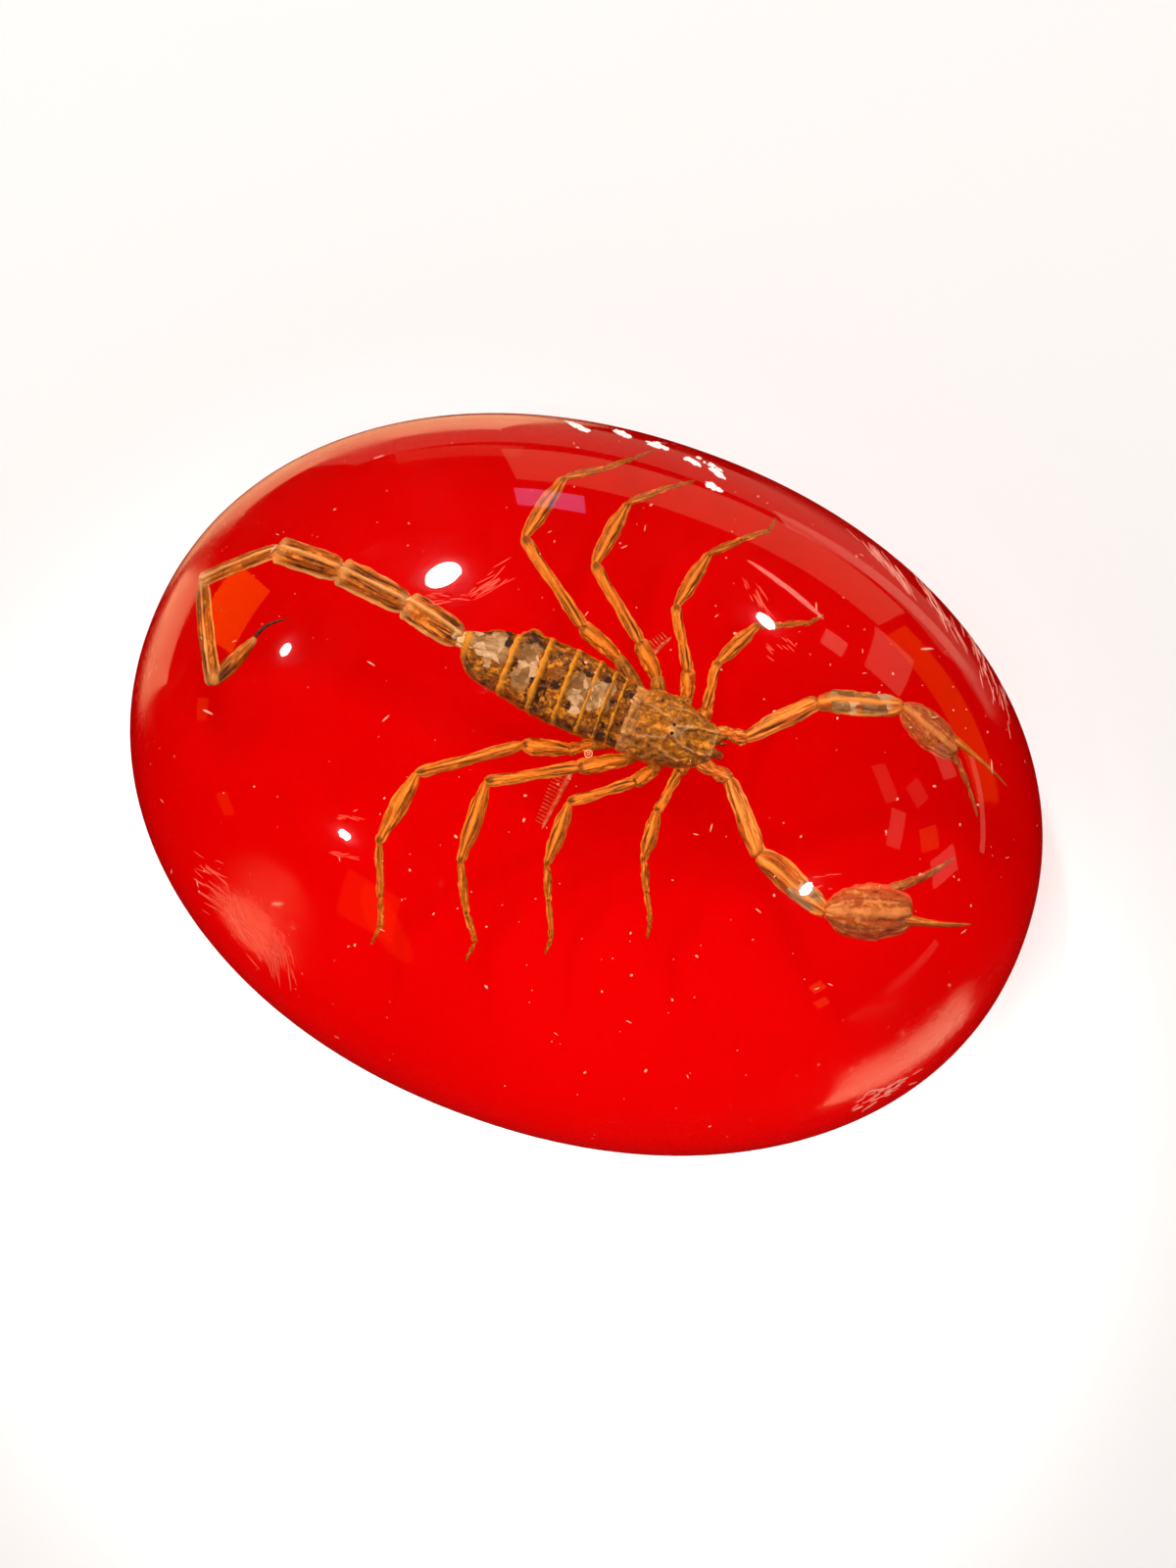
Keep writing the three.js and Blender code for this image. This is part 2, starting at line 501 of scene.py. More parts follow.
def chitin(
    name, pale, amber, dark, streaks=0.7, blotch=0.0, rims=0.35, rough=0.4, air_glint_spots=(), margin_light=0.0, dots=0.0,
    thin="#E4741E", thin_from=1.6, lines=0.85, stain_size=1.1, rim_and_highlight=None,
):
    """Scorpion cuticle: waxy amber with dark streaks and blotches, pale ends with a painted highlight on
    keels, painted light at thin margins, and silvery flakes of air painted in their reflection.
    """
    made, tree = new_material(name)
    place = add(tree, "TexCoord").outputs["Object"]
    chart = add(tree, "UVMap", uv_map="along")
    split = add(tree, "SeparateXYZ", {0: chart})
    share = add(tree, "Math", {0: split.outputs[1]}, operation="FRACT")
    aside = add(tree, "Math", {0: split.outputs[0], 1: 2.0}, operation="SUBTRACT")
    aside = add(tree, "Math", {0: aside}, operation="ABSOLUTE")
    crest = add(tree, "Attribute", attribute_name="crest").outputs["Fac"]
    drawn = add(tree, "VectorMath", {0: chart, 1: (2.6, 1.7, 1.0)}, operation="MULTIPLY")
    fibrous = {"Scale": 1.0, "Detail": 6.0, "Roughness": 0.66, "Distortion": 0.7}
    streak = add(tree, "TexNoise", {"Vector": drawn, **fibrous})
    mottle = add(tree, "TexNoise", {"Vector": place, "Scale": 1 / MOTTLE, "Detail": 5.0, "Roughness": 0.7})
    blend = add(tree, "Mix", {0: streaks, 2: mottle, 3: streak}, data_type="FLOAT")
    bands = ((0.38, linear(dark)), (0.44, linear(amber)), (0.51, linear(amber)), (0.58, linear(pale)))
    colour = add(tree, "ValToRGB", {0: blend}, stops=bands)
    layers = []                        # what lies over the amber: how much of it, and its colour
    inner = add(tree, "MapRange", {0: share, 1: 0.82, 2: 0.93, 3: 1.0, 4: 0.0})
    begun = add(tree, "MapRange", {0: share, 1: 0.0, 2: 0.1, 3: 0.0, 4: 1.0})
    inner = add(tree, "Math", {0: begun, 1: inner}, operation="MULTIPLY")
    if lines:
        drawn = add(tree, "VectorMath", {0: chart, 1: (5.2, 1.3, 1.0)}, operation="MULTIPLY")
        crack = add(tree, "TexNoise", {"Vector": drawn, "Scale": 1.0, "Detail": 2.0, "Distortion": 0.4})
        crack = add(tree, "MapRange", {0: crack, 1: 0.565, 2: 0.61, 3: 0.0, 4: lines})
        layers.append((crack, linear(dark)))
    if blotch:
        spread = {"Scale": 1 / (stain_size * MM), "Detail": 6.0, "Roughness": 0.75}
        cloud = add(tree, "TexNoise", {"Vector": place, **spread})
        stain = add(tree, "MapRange", {0: cloud, 1: 0.515, 2: 0.55, 3: 0.0, 4: blotch})
        stain = add(tree, "Math", {0: stain, 1: inner}, operation="MULTIPLY")
        layers.append((stain, linear(dark)))
    # Air under the skin: flakes painted in the colours of their silvery reflection.
    if air_glint_spots:
        warp = add(tree, "TexNoise", {"Vector": place, "Scale": 1 / FLAKE_EDGE, "Detail": 2.0})
        bend = {0: warp.outputs["Color"], 1: (FLAKE_EDGE,) * 3, 2: place}
        ragged = add(tree, "VectorMath", bend, operation="MULTIPLY_ADD")
        flakes = add(tree, "TexVoronoi", {"Vector": ragged, "Scale": 1 / FLAKE})
        flake = add(tree, "SeparateColor", {0: flakes.outputs["Color"]})
        air_glint_mask = near_spots(tree, flakes.outputs["Position"], air_glint_spots, Vector((1, 1, 1)) * FLAKE_EDGE / 2 / MM)
        air_glint_mask = add(tree, "Math", {0: air_glint_mask, 1: inner}, operation="MULTIPLY")
        air_glint_mask = add(tree, "Math", {0: air_glint_mask, 1: 0.9}, operation="MULTIPLY")
        glint = add(tree, "Math", {0: flake, 1: 0.5, 2: streak}, operation="MULTIPLY_ADD")
        glint_colours = ((0.5, linear("#70461E")), (0.74, linear("#94683A")), (1.0, linear("#CCA074")))
        glint = add(tree, "ValToRGB", {0: glint}, stops=glint_colours)
        layers.append((air_glint_mask, glint))
    # Pale rear rims, and a painted highlight on the crests of keels and ridges.
    ends = add(tree, "MapRange", {0: inner, 3: rims, 4: 0.0})
    ends = add(tree, "Math", {0: ends, 1: crest}, operation="MAXIMUM")
    layers.append((ends, linear(rim_and_highlight or pale)))
    # Painted light at the margins: the backing's red light through thin edges and walls, or on the lower
    # sides.
    if margin_light:
        edge = add(tree, "MapRange", {0: aside, 1: thin_from, 2: thin_from + 0.35, 3: 0.0, 4: margin_light})
        layers.append((edge, linear(thin)))
    if dots:
        top = add(tree, "MapRange", {0: aside, 1: 0.3, 2: 0.55, 3: dots, 4: 0.0})
        end = add(tree, "MapRange", {0: share, 1: 0.9, 2: 0.94, 3: 0.0, 4: 1.0})
        pivot = add(tree, "Math", {0: top, 1: end}, operation="MULTIPLY")
        layers.append((pivot, linear(dark)))
    for amount, over in layers:
        colour = add(tree, "Mix", {0: amount, 6: colour, 7: over}, data_type="RGBA").outputs[2]
    grain = add(tree, "TexNoise", {"Vector": place, "Scale": 1 / SKIN_GRAIN, "Detail": 3.0})
    relief = add(tree, "Math", {0: streak, 1: 3.0, 2: grain}, operation="MULTIPLY_ADD")
    bump = add(tree, "Bump", {"Height": relief, "Strength": 0.8, "Distance": SKIN_RELIEF})
    shader = add(tree, "BsdfPrincipled", {
        "Base Color": colour,
        "Roughness": rough,
        "Specular IOR Level": 0.35,
        "Sheen Weight": 0.06,
        "Sheen Roughness": 0.35,
        "Sheen Tint": linear(pale),
        "Normal": bump,
    })
    add(tree, "OutputMaterial", {"Surface": shader})
    return made


belly_rings = []
for count in range(BELLY_RINGS):
    place = RIGHT_EDGE[0][0] + RING_STEP * count
    right, left = across(RIGHT_EDGE, place), across(LEFT_EDGE, place)
    drawn_in = SEAM_SHARE if count % RINGS_A_PLATE == RINGS_A_PLATE - 1 else PLATE_SHARE
    wide = (left - right) * drawn_in - 0.2
    belly_rings.append((place, wide, min(BELLY_DEPTH, wide) * drawn_in, (left + right) / 2, BELLY_LEVEL))
belly = grow("belly", belly_rings, sides=28)
belly.data.transform(Matrix.Scale(MM, 4))
coxa = grow("coxa", ((0, 0.6), (0.1, 0.9), (0.5, 1), (0.9, 0.85), (1, 0.5)))
underside = [belly]
for count, hip in enumerate(HIPS.values()):
    reach = Vector(hip) - Vector(STERNUM)
    heading = math.degrees(math.atan2(reach.y, reach.x))
    underside.append(lay(coxa, STERNUM, reach.length + 0.3, HIP_WIDTH, heading, number=count + 1)[0])
# Dried skin: duller and browner than the plates on the back, blotched rather than streaked.
belly_chitin = chitin("Chitin, belly skin, dried", "#C07020", "#985008", "#301802", streaks=0.3, blotch=0.5)
belongs(refine(join("trunk_underside", underside), levels=1, lumps=0.15), belly_chitin)

# ------------------------------------------------------------------------------
# Shields. Seven hard plates lie across the back like roof tiles, each with a pale raised rear rim over the
# front of the next, and one wide shield covers the head. Their raised rims and keels take a painted
# highlight. Air crept under some of them, and its silvery reflection is painted on as flakes.

TILE_EDGES = (2.35, 1.45, 0.35, -1.15, -3.25, -5.65, -8.35, -12.6)
TILE_OVERLAP = 0.3
SHIELD_LEVEL = 14.2
SHELL = 0.14
CREST_FROM, CREST_FULL = 0.6, 0.28   # how high a keel stands before it takes a painted highlight, and when the highlight is full
TILE_AIR_GLINTS = (                  # places and radii of air under the plates, painted as its silvery reflection
    ((-10.4, 5.7, 16.6), 1.7), ((-11.8, 5.4, 16.2), 1.1), ((-7.0, 5.6, 17.0), 1.2), ((-7.0, 4.1, 17.0), 1.2),
    ((-2.3, 5.2, 17.0), 1.1), ((-2.2, 3.9, 17.0), 1.2), ((-0.4, 5.0, 17.0), 0.95), ((-0.4, 3.9, 17.0), 0.9),
)
HEAD_AIR_GLINTS = (((6.8, 4.6, 17.4), 0.7), ((5.0, 5.0, 17.2), 0.6))


def shield(name, front, rear, relief, number, rows=14, columns=40, ridge_highlight=1.0):
    """An arched plate over the back between two places on X; relief adds height by length and width share."""
    bpy.ops.object.select_all(action="DESELECT")
    bpy.ops.mesh.primitive_grid_add(x_subdivisions=rows, y_subdivisions=columns, size=2, calc_uvs=False)
    plate = start_piece(name)
    bpy.ops.object.mode_set(mode="OBJECT")
    chart = plate.data.uv_layers.new(name="along")
    for loop in plate.data.loops:
        flat = plate.data.vertices[loop.vertex_index].co
        chart.data[loop.index].uv = (2 + 2 * flat.y, (1 - flat.x) / 2 + number)
    # Where the relief stands high, the crest attribute asks for a painted highlight.
    crest = plate.data.attributes.new("crest", "FLOAT", "POINT")
    for corner in plate.data.vertices:
        along, aside = (1 - corner.co.x) / 2, corner.co.y
        stands = relief(along, aside) / CREST_FULL - CREST_FROM
        crest.data[corner.index].value = ridge_highlight * min(1.0, max(0.0, stands))
        x = front + (rear - front) * along
        right, left = across(RIGHT_EDGE, x), across(LEFT_EDGE, x)
        width = left - right
        lift = (0.3 * width + 0.9) * max(0.0, math.cos(aside * math.pi / 2)) ** 0.8 + relief(along, aside)
        y = (left + right) / 2 + width / 2 * math.sin(aside * math.pi / 2) * (1 + 0.02 * along)
        corner.co = Vector((x, y, SHIELD_LEVEL + lift)) * MM
    wall = plate.modifiers.new("shell", "SOLIDIFY")
    wall.thickness = SHELL * MM
    return plate


def hump(gap, width):
    """A smooth ridge: 1 where the gap is nothing, and fading over a width."""
    return math.exp(-((gap / width) ** 2))


def tile_relief(along, aside):
    """A tile climbs to its rear, where its rim is raised, with a low keel along the middle of the back."""
    rim = 1 / (1 + math.exp(-(along - 0.84) * 40))
    return 0.1 * along + 0.24 * rim + 0.08 * hump(aside, 0.05) * along - 0.14 * hump(along - 0.5, 0.25)


def head_relief(along, aside):
    """The head shield: the eye knoll, a furrow down the middle, and keels that spread to front and rear."""
    knoll = 0.45 * hump(along - 0.47, 0.08) * hump(aside, 0.12)
    furrow = -0.3 * hump(aside, 0.05) * (1 - hump(along - 0.47, 0.14))
    front_keel = 0.4 * hump(abs(aside) - 0.1 - 0.85 * (0.45 - along), 0.045) * (along < 0.5)
    side_keel = 0.4 * hump(abs(aside) - 0.36 - 0.25 * hump(along - 0.3, 0.2), 0.05) * hump(along - 0.4, 0.3)
    rear_keel = 0.34 * hump(abs(aside) - 0.2 - 0.4 * (along - 0.55), 0.045) * (along > 0.5)
    cross_furrow = -0.2 * hump(along - 0.86, 0.04)
    rim = 0.3 * hump(along - 0.96, 0.03)
    return knoll + furrow + front_keel + side_keel + rear_keel + cross_furrow + rim


# Hard plates: a waxy gleam over near-black mottling, framed by amber rims, with a painted highlight on the
# raised rear rims, and painted orange light through the thin side edges.
tile_chitin = chitin(
    "Chitin, back plates, dark mottled", "#CA7812", "#783C05", "#120601", streaks=0.25, blotch=0.95, rims=0.7,
    rim_and_highlight="#E08A1C", rough=0.34, lines=0.4, air_glint_spots=TILE_AIR_GLINTS, margin_light=0.9,
)
# The same, grained: browner and less blotched, with a painted highlight on the keels, and painted orange
# light through the thin side edges.
head_chitin = chitin(
    "Chitin, head shield, grained", "#CC7A1E", "#8E4E08", "#2C1002", streaks=0.15, blotch=0.35, rims=0.25,
    rim_and_highlight="#E0A464", rough=0.34, lines=0.25, stain_size=1.6, air_glint_spots=HEAD_AIR_GLINTS, margin_light=0.7,
)
for number, (front, rear) in enumerate(zip(TILE_EDGES, TILE_EDGES[1:]), start=1):
    over = TILE_OVERLAP if number < 7 else 0.0
    tile = shield(f"tergite_{number}", front + 0.1, rear - over, tile_relief, number)
    refine(tile, levels=1, lumps=0.4, lump=0.7)
    belongs(tile, tile_chitin)
carapace = shield("carapace", 9.75, 2.15, head_relief, 0, rows=56, columns=56, ridge_highlight=0.55)
refine(carapace, levels=1, lumps=0.35, lump=0.5)
belongs(carapace, head_chitin)

# ------------------------------------------------------------------------------
# Eyes and jaws. A pair of black glassy eyes stands on the knoll of the head shield, and two short jaws, dark
# at their toothed tips, reach out from under its front edge.

EYES = ((6.15, 4.42, 17.5), (6.2, 3.72, 17.5))
EYE_WIDTH = 0.3
JAWS = {"left": (9.0, 4.75, 14.9, 8), "right": (9.0, 3.7, 14.9, -6)}   # place, then heading


def dark_chitin(name, colour, lighter, rough):
    """Hard dark cuticle: brown to black, smooth, with a tight gloss."""
    made, tree = new_material(name)
    place = add(tree, "TexCoord").outputs["Object"]
    cloud = add(tree, "TexNoise", {"Vector": place, "Scale": 1 / (0.5 * MM), "Detail": 3.0})
    stops = ((0.35, linear(colour)), (0.7, linear(lighter)))
    tone = add(tree, "ValToRGB", {0: cloud}, stops=stops)
    shader = add(tree, "BsdfPrincipled", {"Base Color": tone, "Roughness": rough})
    add(tree, "OutputMaterial", {"Surface": shader})
    return made


hard_chitin = dark_chitin("Chitin, black brown, hard", "#1E0E06", "#4A2810", 0.25)
eyeballs = []
for eye in EYES:
    bpy.ops.object.select_all(action="DESELECT")
    bpy.ops.mesh.primitive_uv_sphere_add(
        segments=24, ring_count=16, radius=EYE_WIDTH / 2 * MM, location=Vector(eye) * MM, calc_uvs=False
    )
    eyeballs.append(start_piece("eye"))
    close_piece()
belongs(join("median_eyes", eyeballs), hard_chitin)

jaw = grow("jaw", (
    (0, 0.7), (0.15, 0.95, 1), (0.4, 1), (0.55, 0.8, 0.85), (0.6, 0.5, 0.6, 0.2), (0.8, 0.36, 0.42, 0.22),
    (0.93, 0.24, 0.3, 0.14), (1, 0.08, 0.1, 0.04),
))
jaw_finger = grow("jaw_finger", (
    (0, 0.4, 0.5), (0.3, 0.36, 0.5, -0.04), (0.8, 0.24, 0.3, 0.04), (1, 0.08, 0.1, 0.14),
))
# Hard but thin: brown and blotched, with the gloss of the plates.
jaw_chitin = chitin("Chitin, jaws, brown", "#BE6C20", "#864008", "#260C02", streaks=0.3, blotch=0.6)
for side, (x, y, z, heading) in JAWS.items():
    palm, _ = lay(jaw, (x, y, z), 1.7, 1.0, heading)
    finger, _ = lay(jaw_finger, (x + 0.8, y - 0.25, z), 0.8, 0.9, heading, number=1)
    chelicera = refine(join(f"chelicera_{side}", [palm, finger]), levels=1, lumps=0.08, lump=0.4)
    belongs(chelicera, jaw_chitin)

# ------------------------------------------------------------------------------
# Tail. Five hollow box-like links with raised keels along their corners, dried and sunk in between them. The
# fourth and fifth bend aside and back.

TAIL_START = (-12.9, 5.3, 15.0)
TAIL_LINKS = (                     # length, width, heading, rise, roll
    (5.2, 2.3, 167, 3, 20), (6.4, 2.1, 172, 2, 14), (6.0, 2.2, 178, -3, 18), (7.3, 1.45, -145, -10, 28),
    (9.4, 1.35, -56, -9, 30),
)
TAIL_AIR_GLINTS = (((-13.1, 5.7, 15.8), 0.75), ((-18.2, 6.7, 16.0), 0.6), ((-24.3, 7.5, 16.0), 0.45))

tail_link = grow("tail_link", (
    (0, 0.45, 0.5), (0.02, 0.66, 0.7), (0.07, 0.84, 0.86), (0.16, 0.92, 0.94), (0.35, 0.97, 0.98),
    (0.55, 1), (0.75, 1), (0.88, 0.96, 1), (0.94, 1.0, 1.04), (0.97, 0.82, 0.86), (1, 0.55, 0.6),
), sides=24, keels=1.22)
# Ridged skin: pale waxy keels with a painted highlight over dark sunken sides, painted redder towards the
# backing for its light.
tail_chitin = chitin(
    "Chitin, tail, keeled", "#E67A22", "#9E4A08", "#2E0E02", streaks=0.6, rims=0.45, margin_light=0.6,
    thin_from=1.25, rim_and_highlight="#EC9C52", thin="#B8461A", air_glint_spots=TAIL_AIR_GLINTS,
)
spot = Vector(TAIL_START)
for number, (length, width, heading, rise, roll) in enumerate(TAIL_LINKS, start=1):
    link, _ = lay(tail_link, spot, length + 0.2, width, heading, rise, depth=0.95, roll=roll, number=number)
    spot = spot + rise_along(length, heading, rise)
    refine(named(link, f"tail_segment_{number}"), levels=2, wrinkle=0.4, lumps=0.2, fold=0.7)
    belongs(link, tail_chitin)

# ------------------------------------------------------------------------------
# Tail collars. Each link of the tail hinges in a knob of thin pale skin, which shows as a bone-coloured
# collar in the gap between the keels.

COLLAR_LENGTH = 1.7
COLLAR_SHARE = 0.64                # of the link's width

# Joint skin: the palest of the animal, with hardly a streak.
collar_chitin = chitin(
    "Chitin, tail joints, pale skin", "#FFE0BC", "#E0A868", "#8A4C18", streaks=0.2, rims=0.2,
)
collar = grow("collar", ((0, 0.6), (0.3, 1), (0.7, 1), (1, 0.6)))
collars, spot = [], Vector(TAIL_START)
for number, (length, width, heading, rise, roll) in enumerate(TAIL_LINKS):
    back = rise_along(COLLAR_LENGTH / 2, heading, rise)
    wide = width * COLLAR_SHARE
    collars.append(lay(collar, spot - back, COLLAR_LENGTH, wide, heading, rise, number=number)[0])
    spot = spot + rise_along(length, heading, rise)
belongs(refine(join("tail_collars", collars), levels=2, lumps=0.3, lump=0.4), collar_chitin)

# ------------------------------------------------------------------------------
# Sting. A grained bulb, hinged on the last link of the tail, with a thin, dark, curved thorn.

STING_BULB = (5.0, 1.5, 65, 2)     # length, width, heading, rise
STING_THORN = (3.5, 0.42, 47, 6)
THORN_ROOT = 0.3                   # how deep the thorn stands in the bulb

bulb_pod = grow("bulb_pod", (
    (0, 0.4), (0.05, 0.62, 0.6), (0.2, 0.9), (0.45, 1), (0.65, 0.86), (0.82, 0.6), (0.94, 0.42), (1, 0.3),
))
thorn_pod = grow("thorn_pod", (
    (0, 1), (0.2, 0.9, 0.9, 0.75), (0.4, 0.75, 0.75, 1.15), (0.6, 0.6, 0.6, 1.05), (0.8, 0.4, 0.4, 0.6),
    (0.93, 0.22, 0.22, 0.2), (1, 0.06, 0.06, 0),
), sides=12)
length, width, heading, rise = STING_BULB
bulb, spot = lay(bulb_pod, spot, length, width, heading, rise, number=1)
refine(named(bulb, "sting_bulb"), levels=2, wrinkle=0.1, lumps=0.2, lump=0.35)
belongs(bulb, tail_chitin)
length, width, heading, rise = STING_THORN
thorn, _ = lay(thorn_pod, spot - rise_along(THORN_ROOT, heading, rise), length, width, heading, rise)
refine(named(thorn, "sting_thorn"), levels=1)
belongs(thorn, hard_chitin)

# ------------------------------------------------------------------------------
# Claw arms. Each has a short knuckle, two wrinkled arm links and a thin-walled hand with a fixed finger; the
# movable finger is a piece of its own, hinged beside it.

ARM_AIR_GLINTS = (                       # where air got under the skin of the lower arms, painted as its reflection
    ((20.8, -4.6, 14.9), 1.6), ((23.4, -3.4, 14.8), 1.4), ((18.6, 11.2, 15.0), 1.5),
    ((21.0, 12.0, 15.0), 1.5),
)
ARM_LINKS = {                      # start, then length, width, heading, rise of knuckle, upper and lower arm
    "left": ((9.4, 5.4, 14.5), (2.4, 1.25, 7, 0), (6.5, 1.5, 46, 5), (7.1, 2.0, 19, -2)),
    "right": ((8.8, 2.6, 14.5), (2.9, 1.3, -7, 0), (6.6, 1.45, -48, 5), (7.0, 2.0, -19, -2)),
}
HANDS = {"left": (5.9, 3.1, -17, -6), "right": (7.3, 4.3, 19, -5)}
FINGERS = {                        # start, length, width, heading, rise, and the tip's curve in widths
    "left": (((26.9, 11.5, 14.2), 6.7, 0.85, -24, -5, -2.6), ((27.6, 12.0, 14.3), 6.9, 0.8, -9, -7, -0.7)),
    "right": (((26.9, -1.7, 14.4), 6.5, 1.0, 38, -5, 0.9), ((28.2, -3.4, 14.3), 7.0, 1.1, 8, -5, 0.8)),
}

knuckle = grow("knuckle", (
    (0, 0.5), (0.08, 0.85, 0.8), (0.25, 1.0), (0.42, 0.78, 0.8), (0.5, 0.62, 0.66), (0.6, 0.92, 0.9),
    (0.8, 1.05, 1.0), (0.93, 0.8), (1, 0.5),
))
upper_arm = grow("upper_arm", (
    (0, 0.4, 0.5), (0.04, 0.62, 0.7), (0.12, 0.8, 0.85), (0.35, 0.95), (0.6, 1), (0.82, 0.98, 0.95),
    (0.9, 0.8), (0.94, 0.95, 0.9), (1, 0.6),
), keels=1.12)
lower_arm = grow("lower_arm", (
    (0, 0.5), (0.04, 0.7), (0.13, 0.82, 0.86, 0.04), (0.2, 1.0, 0.9, 0.1), (0.4, 0.98, 1, 0.02),
    (0.65, 0.95), (0.86, 0.8), (0.95, 0.62), (1, 0.4),
), keels=1.12)
hand_pod = grow("hand_pod", (
    (0, 0.2, 0.4), (0.03, 0.36, 0.6), (0.1, 0.62, 0.76), (0.16, 0.72, 0.84), (0.22, 0.88, 0.9),
    (0.28, 0.86, 0.94), (0.34, 0.98), (0.4, 0.95, 1), (0.46, 1.02, 1), (0.53, 0.97, 1), (0.6, 0.99, 0.98),
    (0.7, 0.9, 0.94), (0.8, 0.84, 0.88), (0.9, 0.72, 0.8), (0.97, 0.54, 0.6), (1, 0.3, 0.4),
), sides=24, keels=1.08)


def finger_rings(curve):
    """A finger tapers from a swollen hinge to a sharp tip, and curves aside more and more on the way."""
    widths = (
        (0, 0.7), (0.06, 1.1), (0.13, 1.15), (0.22, 0.85), (0.35, 0.62), (0.5, 0.5), (0.65, 0.42),
        (0.8, 0.33), (0.93, 0.2), (1, 0.06),
    )
    return [(place, wide, wide * 1.1, curve * place**2) for place, wide in widths]


# Wrinkled skin: long dark grooves between waxy orange folds, a painted highlight along the keels, and a
# painted grey brown reflection where air got under it.
arm_chitin = chitin(
    "Chitin, arms, wrinkled lengthwise", "#F28A34", "#B84E0C", "#301002", streaks=0.85, rims=0.3, lines=0.6,
    air_glint_spots=ARM_AIR_GLINTS,
)
# Thin walls: brown along the middle, painted red at the sides for the backing's light that shows through
# them, with a painted highlight along the keels.
hand_chitin = chitin(
    "Chitin, hands, thin and translucent", "#D47A3A", "#A84412", "#4C1402", streaks=0.6, rims=0.2, lines=0.35,
    margin_light=0.85, thin_from=0.6, thin="#DC3C1E",
)
for side, (start, *links) in ARM_LINKS.items():
    mirrored = 1 if side == "right" else -1
    spot, parts = Vector(start), []
    for pod, (length, width, heading, rise) in zip((knuckle, upper_arm, lower_arm), links):
        shape = {"depth": 0.75, "roll": 20 * mirrored, "number": len(parts)}
        parts.append(lay(pod, spot, length + 0.15, width, heading, rise, **shape)[0])
        spot = spot + rise_along(length, heading, rise)
    arm = refine(join(f"pedipalp_arm_{side}", parts), levels=2, wrinkle=0.5, lumps=0.2, fold=0.5)
    belongs(arm, arm_chitin)
    length, width, heading, rise = HANDS[side]
    palm, _ = lay(hand_pod, spot, length, width, heading, rise, depth=0.55, roll=15 * mirrored)
    fixed, moving = FINGERS[side]
    fingers = []
    for start, length, width, heading, rise, curve in (fixed, moving):
        finger = grow("finger", finger_rings(curve), sides=12)
        fingers.append(lay(finger, start, length, width, heading, rise)[0])
        bpy.data.objects.remove(finger)
    hand = join(f"pedipalp_hand_{side}", [palm, fingers[0]])
    belongs(refine(hand, levels=2, wrinkle=0.45, lumps=0.3, fold=0.45), hand_chitin)
    movable = named(fingers[1], f"movable_finger_{side}")
    belongs(refine(movable, levels=2, lumps=0.08), arm_chitin)

# ------------------------------------------------------------------------------
# Legs. Eight thin jointed legs, spread as they dried: a short thick thigh, a long shank, a spindle-shaped
# shin, and a thin foot in three joints. One of them shows the small joint that ties the thigh to the hip.

JOINTS = {                         # how wide each is on a leg of full width, and how steeply it climbs
    "trochanter": (1.15, 4), "thigh": (1.35, 15), "shank": (0.95, 3), "shin": (1.4, -17),
    "foot_1": (0.66, -14), "foot_2": (0.46, -12), "claws": (0.3, -10),
}
LEGS = {                           # how slim it is, then each joint's reach and heading, seen from above
    "left_4": (1.0, ((3.8, 161), (8.9, 144), (6.0, 79), (3.4, 36), (2.4, 43), (2.2, 51))),
    "left_3": (1.0, ((3.1, 139), (7.5, 141), (5.7, 83), (2.6, 47), (1.5, 39), (1.8, 37))),
    "left_2": (0.9, ((2.2, 111), (5.3, 121), (5.0, 79), (2.9, 47), (2.5, 41), (1.2, 80))),
    "left_1": (0.85, ((1.5, 96), (3.8, 96), (4.4, 64), (1.9, 24), (2.3, 25), (1.2, 50))),
    "right_4": (
        1.0, ((2.0, -147), (3.7, -165), (8.8, -146), (5.8, -100), (4.1, -67), (2.2, -69), (1.4, -100)),
    ),
    "right_3": (1.0, ((3.9, -149), (7.5, -152), (6.2, -89), (3.9, -60), (2.2, -49), (1.4, -101))),
    "right_2": (0.9, ((1.9, -126), (5.4, -144), (4.9, -91), (2.7, -64), (2.7, -63), (1.2, -93))),
    "right_1": (0.85, ((1.5, -100), (3.5, -100), (3.8, -86), (2.4, -62), (2.2, -60), (1.1, -82))),
}

pods = {
    "trochanter": knuckle,
    "thigh": grow("thigh", (
        (0, 0.35, 0.4), (0.04, 0.58, 0.6), (0.14, 0.74, 0.8), (0.35, 0.92, 0.95), (0.6, 1),
        (0.8, 0.98, 0.96), (0.92, 0.84), (0.97, 0.66), (1, 0.4),
    ), keels=1.06),
    "shank": grow("shank", (
        (0, 0.5), (0.03, 0.78), (0.1, 0.98, 1), (0.22, 0.96, 0.98), (0.45, 0.82, 0.9), (0.7, 0.8, 0.88),
        (0.86, 0.98), (0.94, 1.0), (0.98, 0.8), (1, 0.5),
    ), keels=1.08),
    "shin": grow("shin", (
        (0, 0.3), (0.03, 0.5), (0.1, 0.6, 0.62), (0.24, 0.84), (0.42, 1), (0.58, 0.98), (0.76, 0.76, 0.78),
        (0.88, 0.55, 0.58), (0.94, 0.58, 0.6), (0.98, 0.46, 0.48), (1, 0.3),
    ), keels=1.06),
    "foot_1": grow("foot_1", (
        (0, 0.5), (0.05, 0.9), (0.3, 1), (0.7, 0.86), (0.92, 0.9), (1, 0.5),
    ), sides=12),
    "claws": grow("claws", (
        (0, 0.6), (0.1, 1), (0.4, 0.8, 0.8, 0, -0.1), (0.7, 0.6, 0.6, 0, -0.5), (1, 0.12, 0.12, 0, -1.3),
    ), sides=10),
}
pods["foot_2"] = pods["foot_1"]
